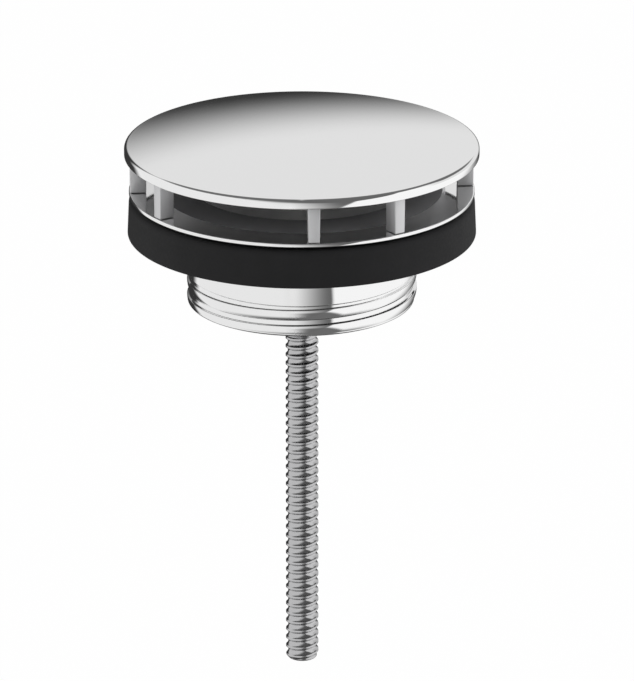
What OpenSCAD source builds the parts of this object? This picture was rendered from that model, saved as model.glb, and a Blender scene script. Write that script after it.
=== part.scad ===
// Pop-up basin waste: a domed strainer cover on a long threaded stem, a drawn metal
// flange body with a threaded spigot, and the thick seal ring that sits on the basin.
// Millimetres. +Z runs up the axis; the origin is the centre of the seal ring's underside.

/* [Flange body] */
// Diameter of the flange
flange_d = 62.6; // [58:0.2:70]
// Thickness of the drawn sheet
sheet_t = 0.7; // [0.5:0.1:1.2]
// Bend between flange and neck, on the neck's outside
bend_r = 0.6; // [0.4:0.1:1.5]
// Major diameter of the spigot thread, G 1 1/4
thread_d = 41.91; // [40:0.01:44]
// How far the thread's crests stand out from the neck
thread_proud = 0.1; // [0.05:0.05:0.6]
// Depth below the seat at which the thread starts to rise
neck_drop = 6.4; // [5:0.1:12]
// Length of the full thread
thread_l = 5.2; // [4:0.1:12]
// Length of the slope at each end of the thread
thread_runout = 0.85; // [0.5:0.05:1.5]
// How far the bottom edge turns in from the thread
lip_turn_in = 1.4; // [0.8:0.1:2]

/* [Seal ring] */
// Thickness of the seal ring
seal_h = 7.6; // [4:0.1:10]
// How far the seal stands out from the flange at its top
seal_top_proud = 0.05; // [0:0.05:0.2]
// How far the seal stands out from the flange at its foot
seal_foot_proud = 0.3; // [0.1:0.05:0.6]
// Rounding of the seal's bottom edge
seal_edge_r = 0.3; // [0.2:0.1:1.5]
// Clearance between the seal's hole and the bend under the flange
seal_bore_gap = 0.1; // [0.05:0.05:1]

/* [Cover cap] */
// How far the cap's edge overhangs the flange
cap_overhang = 0.8; // [0.3:0.1:2]
// Height of the cap's straight edge wall
cap_edge_h = 1.1; // [0.8:0.1:2]
// Rounded edge between that wall and the dome
cap_edge_r = 0.65; // [0.3:0.05:0.9]
// Rise of the dome above its edge
dome_rise = 2; // [1.2:0.1:4]
// Wall of the spun cap
cap_wall = 1; // [0.6:0.1:1.2]
// Bonding gap between the cap and the cage inside it
bond_gap = 0.05; // [0.02:0.01:0.1]

/* [Strainer cage] */
// Clear height of the slots between flange and cap
slot_h = 6.65; // [5:0.05:10]
// Hairline under the feet of the legs
foot_gap = 0.1; // [0.05:0.05:0.3]
// Width of a leg where it leaves the cap
leg_w = 2.2; // [1.6:0.1:3]
// How much narrower a leg is at its foot
leg_draft = 0.2; // [0:0.05:0.4]
// Radial depth of a leg
leg_depth = 2.9; // [2:0.1:4]
// Set-back of the legs from the flange's edge
leg_setback = 0.4; // [0.2:0.1:1]
// Pairs of legs around the cover
leg_pairs = 4; // [3:1:5]
// Angle between the two legs of a pair
leg_pair_angle = 30; // [20:1:36]
// Wall of the boss around the threaded insert
boss_wall = 1.7; // [1.2:0.1:2.5]
// Gussets between boss and plate
gussets = 4; // [3:1:6]
// Thickness of a gusset
gusset_t = 1.2; // [0.8:0.1:2]
// Reach of a gusset from the boss
gusset_l = 3.2; // [2:0.1:5]
// Wall of the threaded insert
insert_wall = 1.3; // [1:0.1:2]
// Material left above the insert
insert_roof = 1.2; // [0.8:0.1:2]

/* [Stem] */
// Diameter of the threaded stem
stem_d = 6; // [5:0.5:8]
// Length of stem below the spigot
stem_drop = 70.2; // [40:0.1:120]
// Rounding of the stem's end
stem_end_r = 0.9; // [0.4:0.1:1.5]
// Step from the threaded stem down to its plain shank, which stops the lift
stop_step = 0.35; // [0.25:0.05:0.6]
// Step from the plain shank down to the upper thread
shank_step = 0.15; // [0.1:0.05:0.4]
// Free end of the stem inside the insert
stem_end_gap = 0.3; // [0.1:0.1:1]
// Clearance drawn between mating threads
thread_gap = 0.02; // [0.01:0.01:0.05]
// Travel of the cover when it pops up
lift = 9.5; // [6:0.5:12]
// Play left at the top of the travel
stop_gap = 0.1; // [0.05:0.05:0.3]

/* [Plug] */
// Depth of the plug's seat below the flange
seat_depth = 4.5; // [4:0.1:6]
// Gap between the plug seal and its seat at rest
seat_gap = 0.1; // [0.05:0.05:0.3]
// Thickness of the plug seal
plug_seal_t = 2; // [1.5:0.1:3]
// Gap around the plug seal in the neck
plug_side_gap = 0.9; // [0.6:0.1:1.5]
// Chamfer of the plug seal's lower edge
plug_seal_chamfer = 0.7; // [0.4:0.1:1]
// Width of seal that lies on the seat
seat_lap = 2.3; // [1.5:0.1:3]
// Thickness of the plug plate
plug_plate_t = 1.5; // [1:0.1:2]
// How far the plate's edge stays inside the seal's
plug_plate_inset = 0.5; // [0.3:0.1:1]
// Thickness of the washers
washer_t = 1; // [0.8:0.1:1.6]
// Width of the upper washer's ring
washer_ring = 2.4; // [2:0.1:4]
// Width of the backing washer's ring
backing_ring = 5.5; // [4:0.1:7]
// Wall of the nuts between thread and flat
nut_wall = 1.5; // [1.3:0.1:2]
// Height of the thin lock nut
lock_nut_h = 2.7; // [2:0.1:4]
// Height of the plug nut
plug_nut_h = 4; // [3:0.1:5]

/* [Guide] */
// Room between the plug nut and the bush
bush_top_gap = 0.8; // [0.3:0.1:2]
// Running clearance of shank and bush
run_gap = 0.05; // [0.03:0.01:0.1]
// Wall of the guide bush
bush_wall = 1.75; // [1.4:0.05:2.5]
// Thickness of the bush's collar
bush_collar_t = 1; // [0.6:0.1:2]
// How far the collar stands out
bush_collar_w = 1.6; // [1:0.1:2.5]
// Axial play of the bush in its hub
bush_play = 0.05; // [0.03:0.01:0.1]
// Length of the hub
hub_h = 5.5; // [4:0.1:8]
// Wall of the hub
hub_wall = 2; // [1.5:0.1:3]
// Thickness of the bush clip
clip_t = 0.6; // [0.4:0.1:1]
// Depth of the clip's groove in the bush
clip_groove = 0.5; // [0.3:0.1:0.8]
// Width of the clip's ring
clip_w = 1.5; // [1:0.1:2]
// Opening of the clip
clip_opening = 50; // [30:5:90]
// Length of bush below the clip
bush_tail = 0.6; // [0.4:0.1:1.5]
// Gap around the guide's sleeve in the neck
sleeve_gap = 0.05; // [0.02:0.01:0.1]
// Wall of the sleeve
sleeve_wall = 1.6; // [1:0.1:2]
// Wall of the sleeve above the seat
rim_wall = 0.5; // [0.4:0.05:0.55]
// How far the guide's collar reaches over the flange
rim_reach = 4; // [2:0.5:5]
// Thickness of that collar
rim_t = 0.6; // [0.5:0.1:0.8]
// Thickness of the seat at its inner edge
seat_t = 0.8; // [0.5:0.1:1.5]
// Arms between sleeve and hub
guide_arms = 4; // [3:1:6]
// Width of an arm
arm_w = 2.4; // [1.6:0.1:3]
// Height of an arm where it meets the sleeve
arm_h = 3.3; // [2:0.1:5]

/* [Hidden] */
$fn = 96;

// Overlap of solids that are one piece, and overshoot of cutting solids
weld = 0.3;
over = 1;
// Segments of a quarter-round edge and of the dome's arc
edge_steps = 5;
dome_steps = 20;
// Sweep of the cap's rounded edge, up from its wall to the dome
cap_edge_sweep = 75;
// Chamfer of a nut's corners, as the slope of a 30 degree cone
nut_slope = tan(30);

// Radii of the body, from the thread inwards
flange_r = flange_d / 2;
thread_r = thread_d / 2;
neck_r = thread_r - thread_proud;
neck_in_r = neck_r - sheet_t;
lip_r = thread_r - lip_turn_in;
sleeve_r = neck_in_r - sleeve_gap;
sleeve_in_r = sleeve_r - sleeve_wall;
rim_in_r = sleeve_r - rim_wall;
plug_seal_r = neck_in_r - plug_side_gap;
plug_plate_r = plug_seal_r - plug_plate_inset;
seat_in_r = plug_seal_r - seat_lap;
cap_r = flange_r + cap_overhang;
recess_r = cap_r - cap_wall;
leg_out_r = flange_r - leg_setback;

// Radii around the stem, from the stem outwards
stem_r = stem_d / 2;
shank_r = stem_r - stop_step;
top_r = shank_r - shank_step;
top_hole_r = top_r + thread_gap;
insert_r = top_r + insert_wall;
boss_r = insert_r + boss_wall;
bush_r = shank_r + bush_wall;
hub_bore_r = bush_r + run_gap;
hub_r = hub_bore_r + hub_wall;
clip_in_r = bush_r - clip_groove;

// Heights, up from the seat plane
flange_top_z = seal_h + sheet_t;
cap_z = flange_top_z + slot_h;
dome_z = cap_z + cap_edge_h + cap_edge_r;
plate_top_z = dome_z + dome_rise - cap_wall - bond_gap;
seat_z = flange_top_z - seat_depth;
plug_seal_z = seat_z + seat_gap;
plug_plate_z = plug_seal_z + plug_seal_t;
plug_washer_z = plug_plate_z + plug_plate_t;
lock_nut_z = plug_washer_z + washer_t;
boss_z = lock_nut_z + lock_nut_h;
boss_h = cap_z - boss_z;
insert_top_z = plate_top_z - insert_roof;
stem_top_z = insert_top_z - stem_end_gap;

// Heights, down from the plug
backing_z = plug_seal_z - washer_t;
plug_nut_z = backing_z - plug_nut_h;
bush_top_z = plug_nut_z - bush_top_gap;
collar_z = bush_top_z - bush_collar_t;
hub_top_z = collar_z - bush_play;
hub_z = hub_top_z - hub_h;
clip_z = hub_z - bush_play - clip_t;
bush_z = clip_z - bush_tail;
stop_z = bush_z - lift - stop_gap;
sleeve_z = hub_top_z - arm_h;
thread_top_z = -neck_drop - thread_runout;
thread_bottom_z = thread_top_z - thread_l;
spigot_z = thread_bottom_z - thread_runout;
stem_z = spigot_z - stem_drop;

// Sphere of the dome's outer face; inset runs inwards from that face
dome_base_r = cap_r - cap_edge_r;
dome_sphere_r = (dome_base_r * dome_base_r + dome_rise * dome_rise) / (2 * dome_rise);
dome_centre_z = dome_z + dome_rise - dome_sphere_r;
function dome_height(r, inset) = dome_centre_z + sqrt(pow(dome_sphere_r - inset, 2) - r * r);
function dome_arc(r, inset) =
    [for (i = [0 : dome_steps]) let (x = r * (1 - i / dome_steps)) [x, dome_height(x, inset)]];

// Points of an arc about (x, y), from one angle to another
function arc(x, y, r, from, to) =
    [for (i = [0 : edge_steps]) let (a = from + (to - from) * i / edge_steps)
        [x + r * cos(a), y + r * sin(a)]];

// A ring between two radii
module ring(outer, inner, z, h) {
    translate([0, 0, z])
        difference() {
            cylinder(r = outer, h = h);
            translate([0, 0, -over]) cylinder(r = inner, h = h + 2 * over);
        }
}

// A hexagon nut with chamfered corners, standing on z
module hex_nut(z, h) {
    flat_r = top_r + nut_wall;
    corner_r = flat_r / cos(30);
    chamfer = (corner_r - flat_r) * nut_slope;
    translate([0, 0, z])
        difference() {
            intersection() {
                cylinder(r = corner_r, h = h, $fn = 6);
                rotate_extrude()
                    polygon([[0, 0], [flat_r, 0], [corner_r, chamfer], [corner_r, h - chamfer],
                             [flat_r, h], [0, h]]);
            }
            translate([0, 0, -over]) cylinder(r = top_hole_r, h = h + 2 * over);
        }
}

// Drawn sheet: flange, bend, neck, thread band and turned-in bottom edge
module flange_body() {
    bend_x = neck_r + bend_r;
    bend_z = seal_h - bend_r;
    color("gainsboro")
        rotate_extrude()
            polygon(concat(
                [[flange_r, seal_h], [flange_r, flange_top_z]],
                arc(bend_x, bend_z, bend_r + sheet_t, 90, 180),
                [[neck_in_r, -neck_drop],
                 [thread_r - sheet_t, thread_top_z],
                 [thread_r - sheet_t, thread_bottom_z],
                 [lip_r - sheet_t, spigot_z],
                 [lip_r, spigot_z],
                 [thread_r, thread_bottom_z],
                 [thread_r, thread_top_z],
                 [neck_r, -neck_drop]],
                arc(bend_x, bend_z, bend_r, 180, 90)));
}

// Thick rubber ring, flared a little towards the basin
module seal_ring() {
    top_r_out = flange_r + seal_top_proud;
    foot_r = flange_r + seal_foot_proud;
    bore_r = neck_r + bend_r + seal_bore_gap;
    color("#262626")
        rotate_extrude()
            polygon(concat(
                [[bore_r, 0]],
                arc(foot_r - seal_edge_r, seal_edge_r, seal_edge_r, -90, 0),
                [[top_r_out, seal_h], [bore_r, seal_h]]));
}

// Moulded insert in the neck: collar over the flange, plug seat, sleeve, arms and hub
module stem_guide() {
    bend_x = neck_r + bend_r;
    bend_z = seal_h - bend_r;
    collar_r = bend_x + rim_reach;
    collar_low = flange_top_z + sleeve_gap;
    collar_top = collar_low + rim_t;
    color("#1c1c1e")
        difference() {
            union() {
                rotate_extrude()
                    polygon(concat(
                        [[seat_in_r, seat_z], [rim_in_r, seat_z], [rim_in_r, collar_top],
                         [collar_r, collar_top], [collar_r, collar_low]],
                        arc(bend_x, bend_z, bend_r + sheet_t + sleeve_gap, 90, 180),
                        [[sleeve_r, sleeve_z], [sleeve_in_r, sleeve_z],
                         [sleeve_in_r, seat_z - seat_t - (sleeve_in_r - seat_in_r)],
                         [seat_in_r, seat_z - seat_t]]));
                translate([0, 0, hub_z]) cylinder(r = hub_r, h = hub_h);
                for (i = [0 : guide_arms - 1])
                    rotate([0, 0, i * 360 / guide_arms]) guide_arm();
            }
            translate([0, 0, hub_z - over]) cylinder(r = hub_bore_r, h = hub_h + 2 * over);
        }
}

// One arm: full height at the hub, lower at the sleeve
module guide_arm() {
    root_r = hub_bore_r + hub_wall / 2;
    tip_r = sleeve_in_r + sleeve_wall / 2;
    rotate([90, 0, 0])
        translate([0, 0, -arm_w / 2])
            linear_extrude(arm_w)
                polygon([[root_r, hub_top_z], [tip_r, hub_top_z], [tip_r, sleeve_z],
                         [root_r, hub_z + weld]]);
}

// Collared bush that turns in the hub while the stem slides in it
module guide_bush() {
    color("ivory")
        difference() {
            union() {
                translate([0, 0, bush_z]) cylinder(r = bush_r, h = bush_top_z - bush_z);
                translate([0, 0, collar_z]) cylinder(r = bush_r + bush_collar_w, h = bush_collar_t);
            }
            ring(bush_r + over, clip_in_r, clip_z, clip_t);
            translate([0, 0, bush_z - over])
                cylinder(r = shank_r + run_gap, h = bush_top_z - bush_z + 2 * over);
        }
}

// Open spring ring that holds the bush under the hub
module bush_clip() {
    side = clip_t - 2 * thread_gap;
    color("darkgray")
        translate([0, 0, clip_z + thread_gap])
            rotate([0, 0, 45 + clip_opening / 2])
                rotate_extrude(angle = 360 - clip_opening)
                    translate([clip_in_r + thread_gap, 0]) square([clip_w, side]);
}

// Spun dome with a rolled edge, hollow underneath
module cover_cap() {
    color("whitesmoke")
        rotate_extrude()
            polygon(concat(
                [[recess_r, cap_z], [cap_r, cap_z]],
                arc(cap_r - cap_edge_r, cap_z + cap_edge_h, cap_edge_r, 0, cap_edge_sweep),
                dome_arc(dome_base_r, 0),
                [for (p = [dome_steps : -1 : 0]) dome_arc(recess_r, cap_wall)[p]]));
}

// Cast plate that fills the cap, with its legs, boss and gussets
module strainer_cage() {
    plate_r = recess_r - bond_gap;
    color("silver")
        difference() {
            union() {
                rotate_extrude()
                    polygon(concat([[0, cap_z], [plate_r, cap_z]],
                                   dome_arc(plate_r, cap_wall + bond_gap)));
                translate([0, 0, boss_z]) cylinder(r = boss_r, h = boss_h + weld);
                for (i = [0 : gussets - 1])
                    rotate([0, 0, 45 + i * 360 / gussets]) gusset();
                for (i = [0 : leg_pairs - 1], side = [-1, 1])
                    rotate([0, 0, 45 + i * 360 / leg_pairs + side * leg_pair_angle / 2]) leg();
            }
            translate([0, 0, boss_z - over])
                cylinder(r = insert_r + thread_gap, h = insert_top_z - boss_z + over);
        }
}

// One leg, drafted towards its foot, standing along +X
module leg() {
    foot_z = flange_top_z + foot_gap;
    root_w = leg_w / 2;
    foot_w = (leg_w - leg_draft) / 2;
    translate([leg_out_r - leg_depth, 0, 0])
        rotate([90, 0, 90])
            linear_extrude(leg_depth)
                polygon([[-foot_w, foot_z], [foot_w, foot_z], [root_w, cap_z],
                         [root_w, cap_z + weld], [-root_w, cap_z + weld], [-root_w, cap_z]]);
}

// One gusset, a triangle between the boss and the plate
module gusset() {
    inner = boss_r - weld;
    rotate([90, 0, 0])
        translate([0, 0, -gusset_t / 2])
            linear_extrude(gusset_t)
                polygon([[inner, cap_z + weld], [boss_r + gusset_l, cap_z + weld],
                         [boss_r + gusset_l, cap_z], [inner, boss_z + weld]]);
}

// Brass thread insert in the cage's boss
module stem_insert() {
    color("goldenrod") ring(insert_r, top_hole_r, boss_z, insert_top_z - boss_z);
}

// Stem: upper thread, plain sliding shank, stop shoulder and long lower thread
module stem() {
    shank_top_z = plug_nut_z - thread_gap;
    color("lightgray")
        rotate_extrude()
            polygon(concat(
                [[0, stem_top_z], [0, stem_z]],
                arc(stem_r - stem_end_r, stem_z + stem_end_r, stem_end_r, -90, 0),
                [[stem_r, stop_z], [shank_r, stop_z], [shank_r, shank_top_z],
                 [top_r, shank_top_z], [top_r, stem_top_z]]));
}

// Thin nut that locks the cover on the stem
module stem_lock_nut() {
    color("silver") hex_nut(lock_nut_z, lock_nut_h);
}

// Washer between lock nut and plug plate
module plug_washer() {
    color("silver") ring(top_hole_r + washer_ring, top_hole_r, plug_washer_z, washer_t);
}

// Stiff plate behind the plug seal, with a rounded upper edge
module plug_plate() {
    edge = plug_plate_t / 2;
    color("gainsboro")
        rotate_extrude()
            polygon(concat(
                [[top_hole_r, plug_plate_z], [plug_plate_r, plug_plate_z]],
                arc(plug_plate_r - edge, plug_washer_z - edge, edge, 0, 90),
                [[top_hole_r, plug_washer_z]]));
}

// Rubber disc that closes the seat
module plug_seal() {
    color("#2c2c2c")
        rotate_extrude()
            polygon([[top_hole_r, plug_seal_z], [plug_seal_r - plug_seal_chamfer, plug_seal_z],
                     [plug_seal_r, plug_seal_z + plug_seal_chamfer], [plug_seal_r, plug_plate_z],
                     [top_hole_r, plug_plate_z]]);
}

// Broad washer under the plug seal
module plug_backing_washer() {
    color("silver") ring(top_hole_r + backing_ring, top_hole_r, backing_z, washer_t);
}

// Nut that clamps plate, seal and washers on the stem
module plug_nut() {
    color("silver") hex_nut(plug_nut_z, plug_nut_h);
}

flange_body();
seal_ring();
stem_guide();
guide_bush();
bush_clip();
cover_cap();
strainer_cage();
stem_insert();
stem();
stem_lock_nut();
plug_washer();
plug_plate();
plug_seal();
plug_backing_washer();
plug_nut();
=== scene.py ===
# %% [markdown]
# # A pop-up basin waste, dressed in Blender
# This is the fitting in the bottom of a washbasin. A domed cap stands on eight short legs over
# the drain, a thin flange sits on a thick rubber ring, a short threaded spigot goes through the
# basin, and a long threaded stem hangs below, where a linkage pushes it up.
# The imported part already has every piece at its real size. This lesson keeps that frame fixed
# and makes the surfaces: mirror chrome, satin castings, rolled threads and matt rubber.

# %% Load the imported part
import math

import bmesh
import bpy
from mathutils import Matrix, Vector


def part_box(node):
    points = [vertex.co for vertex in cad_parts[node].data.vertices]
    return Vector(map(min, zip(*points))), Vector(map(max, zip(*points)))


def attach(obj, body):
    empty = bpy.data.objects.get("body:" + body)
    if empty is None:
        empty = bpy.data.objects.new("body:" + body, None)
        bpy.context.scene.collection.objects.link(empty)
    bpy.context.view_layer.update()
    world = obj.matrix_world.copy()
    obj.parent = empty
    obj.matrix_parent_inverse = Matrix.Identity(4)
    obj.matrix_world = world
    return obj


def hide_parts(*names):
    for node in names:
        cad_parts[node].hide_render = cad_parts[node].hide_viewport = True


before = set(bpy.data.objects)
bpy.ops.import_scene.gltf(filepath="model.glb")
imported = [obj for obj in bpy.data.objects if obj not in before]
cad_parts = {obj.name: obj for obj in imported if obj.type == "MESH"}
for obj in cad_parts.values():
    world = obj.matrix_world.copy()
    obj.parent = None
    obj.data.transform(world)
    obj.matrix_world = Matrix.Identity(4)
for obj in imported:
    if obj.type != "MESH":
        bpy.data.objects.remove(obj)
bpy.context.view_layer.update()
MM = 0.001

# %% [markdown]
# ## Reading sizes from the frame
# Every visible shape takes its place from a CAD node. A turned piece needs only its outer
# radius and its two heights, so one small function reads those in millimetres. The facets of
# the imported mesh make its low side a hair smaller, and taking the smaller of the two keeps
# each new piece inside the CAD box.

# %% Measure the turned pieces
def turned_size(node):
    low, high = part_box(node)
    return min(-low.x, high.x) / MM, low.z / MM, high.z / MM


cap_r, cap_z, cap_top_z = turned_size("cover_cap")
flange_r, _, flange_top_z = turned_size("flange_body")
seal_r, seal_z, seal_top_z = turned_size("seal_ring")
stem_r, stem_z, stem_top_z = turned_size("stem")
print("cap radius", round(cap_r, 2), "flange radius", round(flange_r, 2), "stem radius", round(stem_r, 2))

# %% [markdown]
# ## The camera
# The picture is taken with a long lens from a little above, so the upright edges stay upright
# and the round edges become flat ellipses. The camera keeps a fixed distance from the part's
# origin, turned round it by an azimuth and an elevation. It aims a little below the origin,
# because most of the part hangs below its seat.

# %% Place the camera
CAMERA_AZIMUTH = math.radians(26.0)
CAMERA_ELEVATION = math.radians(18.83)
CAMERA_DISTANCE = 1100.0
LENS = 320.46
AIM_RIGHT = 2.73
AIM_DOWN = 19.79

side, rise = math.sin(CAMERA_AZIMUTH), math.sin(CAMERA_ELEVATION)
ahead, level = math.cos(CAMERA_AZIMUTH), math.cos(CAMERA_ELEVATION)
towards_camera = Vector((side * level, -ahead * level, rise))
camera_right = Vector((ahead, side, 0))
camera_up = Vector((-side * rise, ahead * rise, level))
aim = camera_right * AIM_RIGHT * MM - camera_up * AIM_DOWN * MM

camera = bpy.data.objects.new("studio_camera", bpy.data.cameras.new("studio_camera"))
bpy.context.scene.collection.objects.link(camera)
bpy.context.scene.camera = camera
camera.location = towards_camera * CAMERA_DISTANCE * MM
camera.rotation_mode = "QUATERNION"
camera.rotation_quaternion = (aim - camera.location).to_track_quat("-Z", "Y")
camera.data.lens = LENS
camera.data.clip_end = 20
print("camera at", [round(c, 3) for c in camera.location])

# %% [markdown]
# ## Two helpers for materials
# Colours are written as the hex values a paint chart would give. Blender's shaders work with
# linear light, so one function converts them. A second small function adds a node, sets its
# values and links its inputs, which keeps each material short enough to read as a recipe.

# %% Material helpers
def linear(hex_colour):
    channels = [int(hex_colour[i:i + 2], 16) / 255 for i in (1, 3, 5)]
    return [c / 12.92 if c <= 0.04045 else ((c + 0.055) / 1.055) ** 2.4 for c in channels] + [1.0]


def add(tree, kind, settings=None, links=None):
    node = tree.nodes.new(kind)
    for name, value in (settings or {}).items():
        if isinstance(name, int) or name in node.inputs:
            node.inputs[name].default_value = value
        else:
            setattr(node, name, value)
    for name, source in (links or {}).items():
        tree.links.new(source, node.inputs[name])
    return node


def new_material(name, settings):
    material = bpy.data.materials.new(name)
    material.use_nodes = True
    tree = material.node_tree
    shader = tree.nodes["Principled BSDF"]
    for socket, value in settings.items():
        shader.inputs[socket].default_value = value
    place = add(tree, "ShaderNodeTexCoord").outputs["Object"]
    return material, tree, shader, place


def per_mm(size):
    return 1 / (size * MM)


# %% [markdown]
# ## Polished chrome plate
# The cap and the drawn body are plated with nickel and bright chrome, then buffed. Such a
# surface has almost no colour of its own and shows the room instead. What tells it from a
# perfect mirror is a faint waviness left by the buffing mop and a soft haze where it was
# wiped, so roughness and a very low bump both follow broad noise. Between the legs the flange
# mirrors the cap's shaded underside, which is why the slots look evenly dark. The plug's plate
# is chromed as pressed, without buffing, so the same recipe gets a darker grey and much more haze.

# %% Chrome
def polished_chrome_plate(name, colour, haze):
    material, tree, shader, place = new_material(name, {"Base Color": linear(colour), "Metallic": 1.0})
    wipe = add(tree, "ShaderNodeTexNoise", {"Scale": per_mm(5), "Detail": 4.0}, {"Vector": place})
    rough = add(tree, "ShaderNodeMapRange", {"To Min": haze * 0.6, "To Max": haze * 1.4},
                {"Value": wipe.outputs["Fac"]})
    tree.links.new(rough.outputs["Result"], shader.inputs["Roughness"])
    mop = add(tree, "ShaderNodeTexNoise", {"Scale": per_mm(9), "Detail": 1.0}, {"Vector": place})
    bump = add(tree, "ShaderNodeBump", {"Strength": 0.25, "Distance": 0.01 * MM},
               {"Height": mop.outputs["Fac"]})
    tree.links.new(bump.outputs["Normal"], shader.inputs["Normal"])
    return material


cap_chrome = polished_chrome_plate("buffed_chrome_on_brass", "#F7F7F7", 0.05)
body_chrome = polished_chrome_plate("drawn_and_chromed_sheet", "#F5F5F5", 0.05)
plug_chrome = polished_chrome_plate("pressed_and_chromed_sheet", "#D2D2D2", 0.5)
print("chrome finishes:", cap_chrome.name, body_chrome.name, plug_chrome.name)

# %% [markdown]
# ## Satin metals
# The cage under the cap is a zinc casting with a satin plating, and the stem is rolled steel
# with a dull zinc coat. The cage's plate and gussets get a darker copy of the legs' plating:
# that difference is painted shade for the hollow under the cap. Both scatter light a little, so
# they look grey and soft beside the chrome. The cage's plating is drawn as only partly metallic,
# which stands for the light that its frosted skin scatters. A fine grain in the bump and in the
# roughness gives the frosted look. Real grain of a few hundredths of a millimetre is too fine
# for this picture, so it is drawn coarser.

# %% Satin plating and dull zinc
def satin_metal(name, colour, shade, roughness, grain, metallic=1.0):
    material, tree, shader, place = new_material(name, {"Metallic": metallic})
    cloud = add(tree, "ShaderNodeTexNoise", {"Scale": per_mm(3), "Detail": 5.0}, {"Vector": place})
    tint = add(tree, "ShaderNodeMix", {"data_type": "RGBA"}, {"Factor": cloud.outputs["Fac"]})
    tint.inputs[6].default_value = linear(colour)
    tint.inputs[7].default_value = linear(shade)
    tree.links.new(tint.outputs[2], shader.inputs["Base Color"])
    frost = add(tree, "ShaderNodeTexNoise", {"Scale": per_mm(grain), "Detail": 2.0}, {"Vector": place})
    rough = add(tree, "ShaderNodeMapRange", {"To Min": roughness * 0.85, "To Max": roughness * 1.15},
                {"Value": frost.outputs["Fac"]})
    tree.links.new(rough.outputs["Result"], shader.inputs["Roughness"])
    bump = add(tree, "ShaderNodeBump", {"Strength": 0.15, "Distance": 0.02 * MM},
               {"Height": frost.outputs["Fac"]})
    tree.links.new(bump.outputs["Normal"], shader.inputs["Normal"])
    return material


leg_satin = satin_metal("satin_plated_zinc_casting", "#D4D4D5", "#CECECF", 0.46, 0.25, metallic=0.7)
# The plate's darker colour is painted shade: it stands for the dark hollow under the cap.
plate_satin_painted_shade = satin_metal("cage_plating_painted_shade", "#C4C4C5", "#BEBEBF", 0.5, 0.25, metallic=0.7)
stem_zinc = satin_metal("rolled_steel_dull_zinc", "#C8C8C9", "#BEBEBF", 0.16, 0.3)
nut_zinc = satin_metal("turned_steel_bright_zinc", "#CFCFCB", "#C3C2BC", 0.22, 0.2)
spring_steel = satin_metal("blued_spring_steel", "#8C8E92", "#7B7D82", 0.3, 0.2)
turned_brass = satin_metal("turned_brass", "#D3B56A", "#C6A558", 0.24, 0.2)
print("satin finishes:", leg_satin.name, plate_satin_painted_shade.name, stem_zinc.name, nut_zinc.name)

# %% [markdown]
# ## Rubber and moulded plastic
# The thick ring and the plug's disc are black EPDM rubber from a mould: nearly black, matt,
# a little dusty on the skin. The guide is acetal from a mould with a matt finish, and its grey
# is painted shade: it is set to the dark of the slots between the legs, where it shows. The
# bush is turned from natural acetal, smoother and slightly glossy. One recipe serves them
# all: a base colour that varies softly, and a skin texture whose size comes from the finish.

# %% Rubber and acetal
def moulded(name, colour, bloom, ior, roughness, skin, depth):
    material, tree, shader, place = new_material(name, {"IOR": ior})
    cloud = add(tree, "ShaderNodeTexNoise", {"Scale": per_mm(4), "Detail": 6.0}, {"Vector": place})
    tint = add(tree, "ShaderNodeMix", {"data_type": "RGBA"}, {"Factor": cloud.outputs["Fac"]})
    tint.inputs[6].default_value = linear(colour)
    tint.inputs[7].default_value = linear(bloom)
    tree.links.new(tint.outputs[2], shader.inputs["Base Color"])
    grain = add(tree, "ShaderNodeTexNoise", {"Scale": per_mm(skin), "Detail": 3.0}, {"Vector": place})
    rough = add(tree, "ShaderNodeMapRange", {"To Min": roughness * 0.85, "To Max": roughness * 1.15},
                {"Value": grain.outputs["Fac"]})
    tree.links.new(rough.outputs["Result"], shader.inputs["Roughness"])
    bump = add(tree, "ShaderNodeBump", {"Strength": 0.3, "Distance": depth * MM},
               {"Height": grain.outputs["Fac"]})
    tree.links.new(bump.outputs["Normal"], shader.inputs["Normal"])
    return material


seal_rubber = moulded("moulded_black_epdm", "#161617", "#1C1C1D", 1.3, 0.65, 0.5, 0.03)
plug_rubber = moulded("moulded_plug_rubber", "#141415", "#1B1B1C", 1.35, 0.6, 0.4, 0.03)
# The guide's grey is painted shade: it is set to the dark of the shaded slots between the legs.
guide_acetal_painted_shade = moulded("moulded_acetal_painted_shade", "#666667", "#6C6C6D", 1.2, 0.75, 0.8, 0.02)
natural_acetal = moulded("turned_natural_acetal", "#EDEAE0", "#E2DED2", 1.48, 0.35, 0.6, 0.02)
print("moulded finishes:", seal_rubber.name, guide_acetal_painted_shade.name, natural_acetal.name)

# %% [markdown]
# ## Turning an outline into a piece
# A cap, a ring, a spigot and a stem are all round, so each is one outline spun about +Z. A
# Screw modifier could do that, but threads need a radius that also changes round the turn.
# So the helper builds the mesh itself: it walks round the axis, and an optional function says
# how far a point moves in or out at that height and angle.

# %% Helpers for turned pieces
AROUND = 256


def arc(centre_r, centre_z, radius, start, end, steps):
    angles = [math.radians(start + (end - start) * i / steps) for i in range(steps + 1)]
    return [(centre_r + radius * math.cos(a), centre_z + radius * math.sin(a)) for a in angles]


def heights(start, end, step):
    count = max(1, round(abs(end - start) / step))
    return [start + (end - start) * i / count for i in range(count + 1)]


def turned(name, outline, material, body, node, thread=None, around=AROUND, sharp=40):
    on_axis = outline[0][0] == 0
    form = bmesh.new()
    rings = []
    for r, z in outline:
        ring = []
        for i in range(1 if r == 0 else around):
            angle = 2 * math.pi * i / around
            radius = r + (thread(r, z, angle) if thread else 0)
            point = Vector((math.cos(angle) * radius, math.sin(angle) * radius, z))
            ring.append(form.verts.new(point * MM))
        rings.append(ring)
    pairs = list(zip(rings, rings[1:])) + ([] if on_axis else [(rings[-1], rings[0])])
    for one, two in pairs:
        for i in range(around):
            j = (i + 1) % around
            corners = [one[i % len(one)], one[j % len(one)], two[j % len(two)], two[i % len(two)]]
            form.faces.new(list(dict.fromkeys(corners)))
    as_piece(name, form, material, body, node, sharp)


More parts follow.
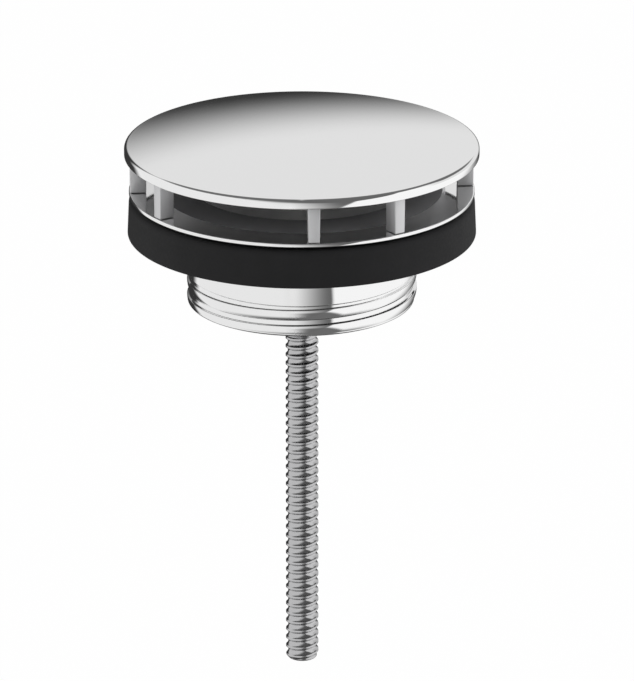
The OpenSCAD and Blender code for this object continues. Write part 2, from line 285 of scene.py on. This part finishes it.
def as_piece(name, form, material, body, node, sharp=40):
    bmesh.ops.recalc_face_normals(form, faces=form.faces)
    mesh = bpy.data.meshes.new(name)
    form.to_mesh(mesh)
    form.free()
    mesh.shade_smooth()
    mesh.set_sharp_from_angle(angle=math.radians(sharp))
    mesh.materials.append(material)
    piece = bpy.data.objects.new(name, mesh)
    bpy.context.scene.collection.objects.link(piece)
    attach(piece, body)
    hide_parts(node)
    print(name, len(mesh.polygons), "faces")


# %% [markdown]
# ## The domed cap
# The cap is spun from sheet: a shallow dome, a small rolled edge and a short straight wall. In
# mirror chrome every facet shows, so the dome is a true circular arc with many steps, and the
# edge is an arc that runs into it.

# %% Cap
EDGE_ROUND = 0.65
DOME_RISE = 2.0
CAP_SHEET = 1.0
BREAK = 0.12
DOME_STEPS = 64

dome_base_r = cap_r - EDGE_ROUND
dome_z = cap_top_z - DOME_RISE
dome_sphere = (dome_base_r ** 2 + DOME_RISE ** 2) / (2 * DOME_RISE)


def dome_height(r, inset):
    return cap_top_z - dome_sphere + math.sqrt((dome_sphere - inset) ** 2 - r ** 2)


recess_r = cap_r - CAP_SHEET
edge_tangent = math.degrees(math.acos(dome_base_r / dome_sphere))
cap_outline = [(0, cap_top_z)]
cap_outline += [(r, dome_height(r, 0)) for r in heights(0, dome_base_r, dome_base_r / DOME_STEPS)[1:]]
cap_outline += arc(dome_base_r, dome_z - EDGE_ROUND, EDGE_ROUND, edge_tangent, 0, 16)[1:]
cap_outline += arc(cap_r - BREAK, cap_z + BREAK, BREAK, 0, -90, 4)
cap_outline += [(recess_r, cap_z)]
cap_outline += [(r, dome_height(r, CAP_SHEET)) for r in heights(recess_r, 0, recess_r / 16)[:-1]]
cap_outline += [(0, dome_height(0, CAP_SHEET))]
turned("domed_cap", cap_outline, cap_chrome, "cover", "cover_cap")

# %% [markdown]
# ## The drawn body
# Flange, neck and spigot are one sheet, deep-drawn, with the thread rolled in afterwards.
# The rolls leave ridges that are flush with the neck at their upper edge and curve in towards
# the next groove, which is flat at its floor and steep at its lower side. The thread function
# works out the depth from how far below a ridge's upper edge a point lies on the helix. Smooth
# shading would bend the flange's mirror image near its two edges, so a ring of points close to
# each edge keeps the face between them flat.

# %% Flange, neck and rolled spigot thread
SHEET = 0.7
BEND = 0.6
RIM_ROUND = 0.15
FLAT_MARGIN_OUT = 0.2
FLAT_MARGIN_IN = 0.1
NECK_R = 20.9
NECK_EDGE = -7.0
EDGE_RISE = 2.6
EDGE_STEP = 0.35
THREAD_TOP = -6.0
THREAD_DEPTH = 0.46
THREAD_PITCH = 2.92
FRONT_RIDGE = -7.93
FIRST_GROOVE_FROM = -0.5
FIRST_GROOVE_TURNS = 0.2
SHALLOW_FROM = -0.25
SHALLOW_TURNS = 0.4
SHALLOW_SHARE = 0.15
RUN_OUT_FROM = 0.37
RUN_OUT_TURNS = 0.25
ROUND_SIDE = 1.95
FLOOR_END = 2.78
ROUNDNESS = 2.4
LIP_START = -12.42
LIP_ROUND = 0.5
LIP_END = (19.6, -13.15)
LIP_SHEET = 0.6
front_angle = CAMERA_AZIMUTH - math.pi / 2


def smooth(value):
    value = min(1, max(0, value))
    return value * value * (3 - 2 * value)


def spigot_thread(r, z, angle):
    if z > THREAD_TOP:
        return 0
    z = max(z, LIP_START)
    round_axis = math.remainder(angle - front_angle, 2 * math.pi) / (2 * math.pi)
    turns = (z - FRONT_RIDGE) / THREAD_PITCH - round_axis
    along = math.floor(turns) + round_axis
    below_ridge = THREAD_PITCH - (turns - math.floor(turns)) * THREAD_PITCH
    round_side = min(1, below_ridge / ROUND_SIDE) ** ROUNDNESS
    first_groove = smooth((along - FIRST_GROOVE_FROM) / FIRST_GROOVE_TURNS)
    hollow = round_side + (1 - round_side) * first_groove
    hollow *= smooth((THREAD_PITCH - below_ridge) / (THREAD_PITCH - FLOOR_END))
    hollow *= 1 - SHALLOW_SHARE * smooth((along - SHALLOW_FROM) / SHALLOW_TURNS)
    hollow *= 1 - smooth((along - RUN_OUT_FROM) / RUN_OUT_TURNS)
    edge = NECK_EDGE + EDGE_RISE * max(0, along) * first_groove
    hollow *= smooth((edge - z) / EDGE_STEP)
    return -THREAD_DEPTH * hollow


seal_plane = flange_top_z - SHEET
outer_wall = [(NECK_R, z) for z in heights(THREAD_TOP, LIP_START, 0.02)]
inner_wall = [(r - SHEET, z) for r, z in outer_wall[::6] + outer_wall[-1:]]
inner_wall += [(LIP_END[0], LIP_END[1] + LIP_SHEET)]
outer_wall += arc(NECK_R - LIP_ROUND, LIP_START, LIP_ROUND, 0, -72, 8)[1:] + [LIP_END]
body_outline = [(flange_r, seal_plane + RIM_ROUND), (flange_r, flange_top_z - RIM_ROUND)]
body_outline += arc(flange_r - RIM_ROUND, flange_top_z - RIM_ROUND, RIM_ROUND, 0, 90, 4)[1:]
body_outline += [(flange_r - FLAT_MARGIN_OUT, flange_top_z)]
body_outline += [(NECK_R + BEND + FLAT_MARGIN_IN, flange_top_z)]
body_outline += arc(NECK_R + BEND, seal_plane - BEND, BEND + SHEET, 90, 180, 12)
body_outline += inner_wall
body_outline += outer_wall[::-1]
body_outline += arc(NECK_R + BEND, seal_plane - BEND, BEND, 180, 90, 8)
body_outline += arc(flange_r - RIM_ROUND, seal_plane + RIM_ROUND, RIM_ROUND, -90, 0, 4)[:-1]
turned("drawn_body", body_outline, body_chrome, "waste", "flange_body",
       thread=spigot_thread, around=384, sharp=80)

# %% [markdown]
# ## The rubber ring
# The ring is moulded with a slightly wider foot and a rounded bottom edge that presses on the
# basin. Just under the flange it has a narrow groove with a round shoulder, so that the squeezed
# rubber can't bulge out past the chrome rim. The groove is so narrow that it shows as a black line.

# %% Seal ring
SEAL_TOP_R = 31.35
SEAL_EDGE = 0.3
SEAL_GROOVE = 0.65
SEAL_GROOVE_IN = 2.6
SEAL_LIP = 1.1
SEAL_BORE = 21.555

seal_outline = [(SEAL_BORE, seal_z), (seal_r - SEAL_EDGE, seal_z)]
seal_outline += arc(seal_r - SEAL_EDGE, seal_z + SEAL_EDGE, SEAL_EDGE, -90, 0, 10)[1:]
seal_outline += arc(SEAL_TOP_R - SEAL_LIP, seal_top_z - SEAL_GROOVE - SEAL_LIP, SEAL_LIP, 0, 90, 12)
seal_outline += [(SEAL_TOP_R - SEAL_GROOVE_IN, seal_top_z - SEAL_GROOVE)]
seal_outline += [(SEAL_TOP_R - SEAL_GROOVE_IN, seal_top_z), (SEAL_BORE, seal_top_z)]
turned("rubber_ring", seal_outline, seal_rubber, "waste", "seal_ring")

# %% [markdown]
# ## The threaded stem
# The stem's thread is rolled too. Going down, a broad face curves outwards to a narrow crest,
# and the crest drops back to the next face. The stem is plain where it slides in the bush, and
# thinner where nuts and plug are clamped.

# %% Stem
STEM_PITCH = 1.69
THREAD_START = 0.5
GROOVE_DEPTH = 0.42
FACE_CURVE = 3.2
CREST_START = 0.56
CREST_END = 0.76
THREAD_FADE = 0.4
STOP_Z = -19.3
SHANK_R = 2.65
SHANK_TOP = -1.12
CLAMP_R = 2.5
STEM_END = 0.9
CLAMP_CHAMFER = 0.4


def share(value, start, end):
    return min(1, max(0, (value - start) / (end - start)))


def stem_groove(r, z, angle):
    if z > STOP_Z or r < SHANK_R / 2:
        return 0
    turns = THREAD_START + (z - stem_z) / STEM_PITCH - angle / (2 * math.pi)
    below = math.ceil(turns) - turns
    out = share(below, 0, CREST_START) ** FACE_CURVE
    out *= 1 - share(below, CREST_END, 1)
    fade = smooth((STOP_Z - z) / THREAD_FADE) * smooth((z - stem_z) / STEM_END)
    return -GROOVE_DEPTH * (1 - out) * fade


stem_outline = [(0, stem_top_z), (CLAMP_R - CLAMP_CHAMFER, stem_top_z)]
stem_outline += [(CLAMP_R, stem_top_z - CLAMP_CHAMFER)]
stem_outline += [(CLAMP_R, SHANK_TOP), (SHANK_R, SHANK_TOP), (SHANK_R, STOP_Z)]
stem_outline += [(stem_r, z) for z in heights(STOP_Z, stem_z + STEM_END, STEM_PITCH / 40)]
stem_outline += arc(stem_r - STEM_END, stem_z + STEM_END, STEM_END, 0, -90, 8)[1:]
stem_outline += [(0, stem_z)]
turned("threaded_stem", stem_outline, stem_zinc, "cover", "stem",
       thread=stem_groove, around=64, sharp=80)

# %% [markdown]
# ## The strainer cage
# Under the cap sits a zinc casting: a plate that fills the dome, eight drafted legs in pairs,
# and a boss with four gussets for the stem, all satin plated. A leg, a gusset and an arm of the
# guide are blocks with eight corners, so one function builds them, turned to their angle, and
# rounds their edges as a mould would.

# %% Cage
BOND = 0.05
BOSS_R = 5.5
BOSS_FILLET = 0.6
BOSS_EDGE = 0.2
INSERT_HOLE = 3.82
LEG_INNER = 28.2
LEG_OUTER = 31.1
LEG_TOP = 1.1
LEG_FOOT = 1.0
LEG_EDGE = 0.12
ROOT = 0.2
GUSSET_REACH = 3.2
GUSSET_HALF = 0.6
GUSSET_INSET = 0.3
GUSSET_EDGE = 0.1
LEG_ANGLES = [quarter + half for quarter in (45, 135, 225, 315) for half in (-15, 15)]

cage_r, foot_z, _ = turned_size("strainer_cage")
_, boss_z, insert_top_z = turned_size("stem_insert")


def block(form, angle, inner, outer, rounding):
    turn = math.radians(angle)
    out = Vector((math.cos(turn), math.sin(turn), 0))
    across = Vector((-math.sin(turn), math.cos(turn), 0))
    ends = []
    for r, low_half, low_z, high_half, high_z in (inner, outer):
        corners = [(-low_half, low_z), (low_half, low_z), (high_half, high_z), (-high_half, high_z)]
        ends.append([form.verts.new((out * r + across * c + Vector((0, 0, z))) * MM) for c, z in corners])
    near, far = ends
    faces = [near[::-1], far] + [[near[i], near[(i + 1) % 4], far[(i + 1) % 4], far[i]] for i in range(4)]
    made = [form.faces.new(face) for face in faces]
    edges = list({edge for face in made for edge in face.edges})
    bmesh.ops.bevel(form, geom=edges, offset=rounding * MM, segments=3, profile=0.5, affect="EDGES")


plate_rows = heights(0, cage_r, cage_r / 16)
plate_outline = [(r, dome_height(r, CAP_SHEET + BOND)) for r in plate_rows]
plate_outline += [(cage_r, cap_z + BREAK), (cage_r - BREAK, cap_z), (BOSS_R + BOSS_FILLET, cap_z)]
plate_outline += arc(BOSS_R + BOSS_FILLET, cap_z - BOSS_FILLET, BOSS_FILLET, 90, 180, 6)[1:]
plate_outline += arc(BOSS_R - BOSS_EDGE, boss_z + BOSS_EDGE, BOSS_EDGE, 0, -90, 4)
plate_outline += [(INSERT_HOLE, boss_z), (INSERT_HOLE, insert_top_z), (0, insert_top_z)]
turned("cage_plate", plate_outline, plate_satin_painted_shade, "cover", "strainer_cage",
       around=128)

legs = bmesh.new()
for angle in LEG_ANGLES:
    shape = (LEG_FOOT, foot_z, LEG_TOP, cap_z + ROOT)
    block(legs, angle, (LEG_INNER,) + shape, (LEG_OUTER,) + shape, LEG_EDGE)
as_piece("cage_legs", legs, leg_satin, "cover", "strainer_cage")

ribs = bmesh.new()
for angle in (45, 135, 225, 315):
    inner = (BOSS_R - GUSSET_INSET, GUSSET_HALF, boss_z + GUSSET_INSET, GUSSET_HALF, cap_z + ROOT)
    outer = (BOSS_R + GUSSET_REACH, GUSSET_HALF, cap_z - GUSSET_INSET, GUSSET_HALF, cap_z + ROOT)
    block(ribs, angle, inner, outer, GUSSET_EDGE)
as_piece("cage_ribs", ribs, plate_satin_painted_shade, "cover", "strainer_cage")

# %% [markdown]
# ## Plug, nuts and washers
# The plug hangs on the stem inside the neck: a pressed plate, a rubber disc and two washers,
# clamped by a nut. A nut is turned like the rest, and then its radius is cut back to six flats,
# which leaves the curved chamfer lines that real nuts have at their corners.

# %% Plug and fasteners
BORE = 2.52
BORE_CHAMFER = 0.3
EASE = 0.12
PLATE_EDGE = 0.75
SEAL_CHAMFER = 0.7


def ring_piece(name, node, material):
    r, low, high = turned_size(node)
    outline = [(BORE, low)] + arc(r - EASE, low + EASE, EASE, -90, 0, 4)
    outline += arc(r - EASE, high - EASE, EASE, 0, 90, 4) + [(BORE, high)]
    turned(name, outline, material, "cover", node, around=96)


def hex_nut(name, node):
    low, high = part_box(node)
    flat_r, corner_r = (high.y - low.y) / 2 / MM, (high.x - low.x) / 2 / MM
    bottom, top = low.z / MM, high.z / MM
    chamfer = (corner_r - flat_r) * math.tan(math.radians(30))

    def flats(r, z, angle):
        beside = math.remainder(angle - math.pi / 6, math.pi / 3)
        return min(0, flat_r / math.cos(beside) - r)

    slope = [(flat_r + (corner_r - flat_r) * i / 6, chamfer * i / 6) for i in range(7)]
    outline = [(BORE, bottom + BORE_CHAMFER), (BORE + BORE_CHAMFER, bottom)]
    outline += [(r, bottom + rise_z) for r, rise_z in slope]
    outline += [(r, top - rise_z) for r, rise_z in slope[::-1]]
    outline += [(BORE + BORE_CHAMFER, top), (BORE, top - BORE_CHAMFER)]
    turned(name, outline, nut_zinc, "cover", node, thread=flats, around=96, sharp=20)


ring_piece("lock_washer", "plug_washer", nut_zinc)
ring_piece("broad_washer", "plug_backing_washer", nut_zinc)
ring_piece("brass_insert", "stem_insert", turned_brass)
hex_nut("thin_lock_nut", "stem_lock_nut")
hex_nut("clamp_nut", "plug_nut")

plug_r, plug_z, plug_top_z = turned_size("plug_plate")
pressed_outline = [(BORE, plug_z)] + arc(plug_r - EASE, plug_z + EASE, EASE, -90, 0, 4)
pressed_outline += arc(plug_r - PLATE_EDGE, plug_top_z - PLATE_EDGE, PLATE_EDGE, 0, 90, 10)
pressed_outline += [(BORE, plug_top_z)]
turned("pressed_plate", pressed_outline, plug_chrome, "cover", "plug_plate")

disc_r, disc_z, disc_top_z = turned_size("plug_seal")
disc_outline = [(BORE, disc_z), (disc_r - SEAL_CHAMFER, disc_z)]
disc_outline += [(disc_r - EASE, disc_z + SEAL_CHAMFER - EASE), (disc_r, disc_z + SEAL_CHAMFER + EASE)]
disc_outline += arc(disc_r - EASE, disc_top_z - EASE, EASE, 0, 90, 4) + [(BORE, disc_top_z)]
turned("rubber_disc", disc_outline, plug_rubber, "cover", "plug_seal")

# %% [markdown]
# ## Guide, bush and clip
# The guide is one acetal moulding, in a grey that is painted shade set to the dark of the slots:
# a collar that hangs on the flange and thins out to its edge, a sleeve with the plug's seat,
# and four arms that carry a hub. The white bush in the hub guides the stem, and a spring clip
# keeps it there. The clip is the one piece that keeps its imported mesh, because only a finish
# is missing on such a small stamped ring.

# %% Guide and bush
SEAT_Z = 3.8
SEAT_IN = 16.955
SEAT_LIP = 0.8
SEAT_SLOPE = 1.45
RIM_IN = 19.605
SLEEVE_R = 20.105
SLEEVE_IN = 18.505
SLEEVE_Z = -6.25
SLEEVE_CHAMFER = 0.2
COLLAR_ROUND = 0.4
NECK_ROOM = 0.05
COLLAR_LIFT = 0.005
COLLAR_EDGE = 0.01
COLLAR_FLAT_R = 21.0
HUB_R = 6.45
HUB_BORE = 4.45
HUB_TOP = -2.95
HUB_ROUND = 0.25
HUB_CHAMFER = 0.2
ARM_HALF = 1.2
ARM_IN_HUB = 1.0
ARM_IN_SLEEVE = 0.8
ARM_LIFT = 0.05
ARM_EDGE = 0.2
BUSH_R = 4.4
BUSH_BORE = 2.7
BUSH_COLLAR = 1.0
BUSH_CHAMFER = 0.3
BUSH_EDGE = 0.2
CLIP_ROOM = 0.02
CLIP_GROOVE_R = 3.9

collar_r, hub_z, collar_z = turned_size("stem_guide")
guide_outline = [(SEAT_IN + EASE, SEAT_Z), (RIM_IN, SEAT_Z)]
guide_outline += arc(RIM_IN + COLLAR_ROUND, collar_z - COLLAR_ROUND, COLLAR_ROUND, 180, 90, 8)
guide_outline += [(COLLAR_FLAT_R, collar_z)]
guide_outline += [(collar_r, flange_top_z + COLLAR_LIFT + COLLAR_EDGE)]
guide_outline += [(collar_r, flange_top_z + COLLAR_LIFT)]
guide_outline += arc(NECK_R + BEND, seal_plane - BEND, BEND + SHEET + NECK_ROOM, 90, 180, 10)
guide_outline += [(SLEEVE_R, SLEEVE_Z + SLEEVE_CHAMFER), (SLEEVE_R - SLEEVE_CHAMFER, SLEEVE_Z)]
guide_outline += [(SLEEVE_IN, SLEEVE_Z), (SLEEVE_IN, SEAT_SLOPE)]
guide_outline += [(SEAT_IN, SEAT_Z - SEAT_LIP), (SEAT_IN, SEAT_Z - EASE)]
turned("guide_sleeve", guide_outline, guide_acetal_painted_shade, "waste", "stem_guide")

hub_outline = arc(HUB_R - HUB_ROUND, hub_z + HUB_ROUND, HUB_ROUND, -90, 0, 4)
hub_outline += arc(HUB_R - HUB_ROUND, HUB_TOP - HUB_ROUND, HUB_ROUND, 0, 90, 4)
hub_outline += [(HUB_BORE + HUB_CHAMFER, HUB_TOP), (HUB_BORE, HUB_TOP - HUB_CHAMFER)]
hub_outline += [(HUB_BORE, hub_z + HUB_CHAMFER), (HUB_BORE + HUB_CHAMFER, hub_z)]
turned("guide_hub", hub_outline, guide_acetal_painted_shade, "waste", "stem_guide", around=96)

arms = bmesh.new()
for angle in (0, 90, 180, 270):
    inner = (HUB_R - ARM_IN_HUB, ARM_HALF, hub_z + ARM_LIFT, ARM_HALF, HUB_TOP)
    outer = (SLEEVE_IN + ARM_IN_SLEEVE, ARM_HALF, SLEEVE_Z, ARM_HALF, HUB_TOP)
    block(arms, angle, inner, outer, ARM_EDGE)
as_piece("guide_arms", arms, guide_acetal_painted_shade, "waste", "stem_guide")

bush_r, bush_z, bush_top_z = turned_size("guide_bush")
_, clip_z, clip_top_z = turned_size("bush_clip")
groove_z, groove_top_z = clip_z - CLIP_ROOM, clip_top_z + CLIP_ROOM
bush_outline = [(BUSH_BORE, bush_z + BUSH_CHAMFER), (BUSH_BORE + BUSH_CHAMFER, bush_z)]
bush_outline += [(BUSH_R - BUSH_CHAMFER, bush_z), (BUSH_R, bush_z + BUSH_CHAMFER)]
bush_outline += [(BUSH_R, groove_z), (CLIP_GROOVE_R, groove_z), (CLIP_GROOVE_R, groove_top_z)]
bush_outline += [(BUSH_R, groove_top_z), (BUSH_R, bush_top_z - BUSH_COLLAR)]
bush_outline += arc(bush_r - EASE, bush_top_z - BUSH_COLLAR + EASE, EASE, -90, 0, 4)
bush_outline += arc(bush_r - BUSH_EDGE, bush_top_z - BUSH_EDGE, BUSH_EDGE, 0, 90, 4)
bush_outline += [(BUSH_BORE + BUSH_CHAMFER, bush_top_z), (BUSH_BORE, bush_top_z - BUSH_CHAMFER)]
turned("collar_bush", bush_outline, natural_acetal, "bush", "guide_bush", around=96)

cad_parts["bush_clip"].material_slots[0].material = spring_steel
print("clip finished with", spring_steel.name)

# %% [markdown]
# ## The studio
# Chrome shows what stands round it, so the room matters as much as the metal. The room is
# white, for the camera and for mirror reflections alike. The part hangs at basin height above
# a pale floor, which keeps its shadow.

# %% White room and floor
FLOOR_DROP = 850.0
FLOOR_SIZE = 12000.0
FLOOR_GLOW = 0.97
ROOM_LIGHT = 0.85
KEY_SIZE = 1200.0
KEY_WATTS = 10
KEY_PLACE = Vector((1050.0, -100.0, 750.0))

world = bpy.data.worlds.new("white_studio")
bpy.context.scene.world = world
world.use_nodes = True
tree = world.node_tree
tree.nodes.clear()


def seen_directly(tree):
    ray = add(tree, "ShaderNodeLightPath")
    seen = add(tree, "ShaderNodeMath", {"operation": "MAXIMUM"},
               {0: ray.outputs["Is Camera Ray"], 1: ray.outputs["Is Glossy Ray"]})
    both = add(tree, "ShaderNodeMath", {"operation": "MAXIMUM"},
               {0: seen.outputs["Value"], 1: ray.outputs["Is Transmission Ray"]})
    return both.outputs["Value"]


light = add(tree, "ShaderNodeMapRange", {"To Min": ROOM_LIGHT, "To Max": 1.0},
            {"Value": seen_directly(tree)})
white = add(tree, "ShaderNodeBackground", {"Color": linear("#FFFFFF")},
            {"Strength": light.outputs["Result"]})
add(tree, "ShaderNodeOutputWorld", links={"Surface": white.outputs["Background"]})

floor_form = bmesh.new()
bmesh.ops.create_grid(floor_form, x_segments=8, y_segments=8, size=FLOOR_SIZE / 2 * MM)
floor_mesh = bpy.data.meshes.new("pale_floor")
floor_form.to_mesh(floor_mesh)
floor_form.free()
floor = bpy.data.objects.new("pale_floor", floor_mesh)
bpy.context.scene.collection.objects.link(floor)
floor.location.z = -FLOOR_DROP * MM

paint = bpy.data.materials.new("white_floor_paint")
paint.use_nodes = True
tree = paint.node_tree
tree.nodes["Principled BSDF"].inputs["Base Color"].default_value = linear("#F4F4F4")
glow = add(tree, "ShaderNodeEmission", {"Color": linear("#FFFFFF")})
glow_part = add(tree, "ShaderNodeMath", {"operation": "MULTIPLY", 1: FLOOR_GLOW}, {0: seen_directly(tree)})
blend = add(tree, "ShaderNodeMixShader", links={
    "Fac": glow_part.outputs["Value"],
    1: tree.nodes["Principled BSDF"].outputs["BSDF"],
    2: glow.outputs["Emission"]})
tree.links.new(blend.outputs["Shader"], tree.nodes["Material Output"].inputs["Surface"])
floor_mesh.materials.append(paint)

key = bpy.data.objects.new("soft_key", bpy.data.lights.new("soft_key", "AREA"))
bpy.context.scene.collection.objects.link(key)
key.data.shape = "DISK"
key.data.size = KEY_SIZE * MM
key.data.energy = KEY_WATTS
key.location = KEY_PLACE * MM
key.rotation_mode = "QUATERNION"
key.rotation_quaternion = (-key.location).to_track_quat("-Z", "Y")
key.visible_glossy = False
bpy.context.scene.view_settings.view_transform = "Standard"
print("floor", FLOOR_DROP, "mm down, soft key", KEY_SIZE, "mm wide")

# %% [markdown]
# ## Dark cards for the chrome
# A photographer gives chrome its shape with dark cards: without them a polished dome on white
# would vanish. Each card is a patch of a sphere round the part, given by the directions of its
# edges, in degrees right of the camera and above the horizon. A soft edge fades from dark to
# clear, so a reflection gets a gradient. The cards show only in reflections: they throw no
# shadow and don't dim the room.

# %% Cards
CARD_STEP = 2


def card(name, distance, shade, left, right, bottom, top, soft, lean=(0, 0, 0, 0)):
    form = bmesh.new()
    cover = []
    rows = []
    middle_az, middle_el = (left + right) / 2, (bottom + top) / 2
    margin = [soft[i] / 2 + abs(lean[i]) * (top - bottom, right - left)[i // 2] / 2 for i in range(4)]
    for el in heights(max(bottom - margin[2], -89), min(top + margin[3], 89), CARD_STEP):
        row = []
        for az in heights(left - margin[0], right + margin[1], CARD_STEP):
            a, e = math.radians(az), math.radians(el)
            level_way = Vector((side, -ahead, 0)) * math.cos(a) + camera_right * math.sin(a)
            way = level_way * math.cos(e) + Vector((0, 0, math.sin(e)))
            row.append(form.verts.new(way * distance * MM))
            inside = (az - left - lean[0] * (el - middle_el), right + lean[1] * (el - middle_el) - az,
                      el - bottom - lean[2] * (az - middle_az), top + lean[3] * (az - middle_az) - el)
            cover.append(math.prod(smooth(0.5 + gap / width) for gap, width in zip(inside, soft)))
        rows.append(row)
    for one, two in zip(rows, rows[1:]):
        for i in range(len(one) - 1):
            form.faces.new((one[i], one[i + 1], two[i + 1], two[i]))
    mesh = bpy.data.meshes.new(name)
    form.to_mesh(mesh)
    form.free()
    mesh.shade_smooth()
    mesh.attributes.new("cover", "FLOAT", "POINT").data.foreach_set("value", cover)
    paper = bpy.data.materials.new(name)
    paper.use_nodes = True
    tree = paper.node_tree
    tree.nodes.clear()
    clear = add(tree, "ShaderNodeBsdfTransparent")
    dark = add(tree, "ShaderNodeEmission", {"Color": linear(shade)})
    amount = add(tree, "ShaderNodeAttribute", {"attribute_name": "cover"})
    mixed = add(tree, "ShaderNodeMixShader", links={
        "Fac": amount.outputs["Fac"], 1: clear.outputs["BSDF"], 2: dark.outputs["Emission"]})
    add(tree, "ShaderNodeOutputMaterial", links={"Surface": mixed.outputs["Shader"]})
    mesh.materials.append(paper)
    piece = bpy.data.objects.new(name, mesh)
    bpy.context.scene.collection.objects.link(piece)
    piece.visible_camera = False
    piece.visible_diffuse = False
    piece.visible_shadow = False
    piece.visible_transmission = False
    print(name, "covers", right - left, "by", top - bottom, "degrees")


card("back_wall", 850, "#E6E6E6", 90, 270, -10, 60, soft=(10, 10, 10, 10))
card("left_wall", 840, "#EFEFEF", -128, -10, -60, 40, soft=(10, 10, 10, 10))
card("back_cloth", 800, "#363636", 141, 227, -60, 14.9, soft=(60, 14, 10, 16.6), lean=(0, 0, 0, 0.638))
card("ceiling_cloth", 780, "#6C6C6C", -180, 180, 42, 100, soft=(1, 1, 8, 1))
card("front_flag", 760, "#666666", -7, 44, -75, 75, soft=(50, 3, 10, 10), lean=(-0.6, 0.68, 0, 0))
card("low_flag", 770, "#6C6C6C", -4, 61, -95, -27, soft=(30, 10, 1, 6), lean=(0, -1, 0, 0))
card("nadir_cloth", 790, "#4A4A4A", -180, 180, -100, -54, soft=(1, 1, 1, 22))
card("right_beam", 750, "#6C6C6C", 104, 167, 24, 50, soft=(6, 6, 5, 5))
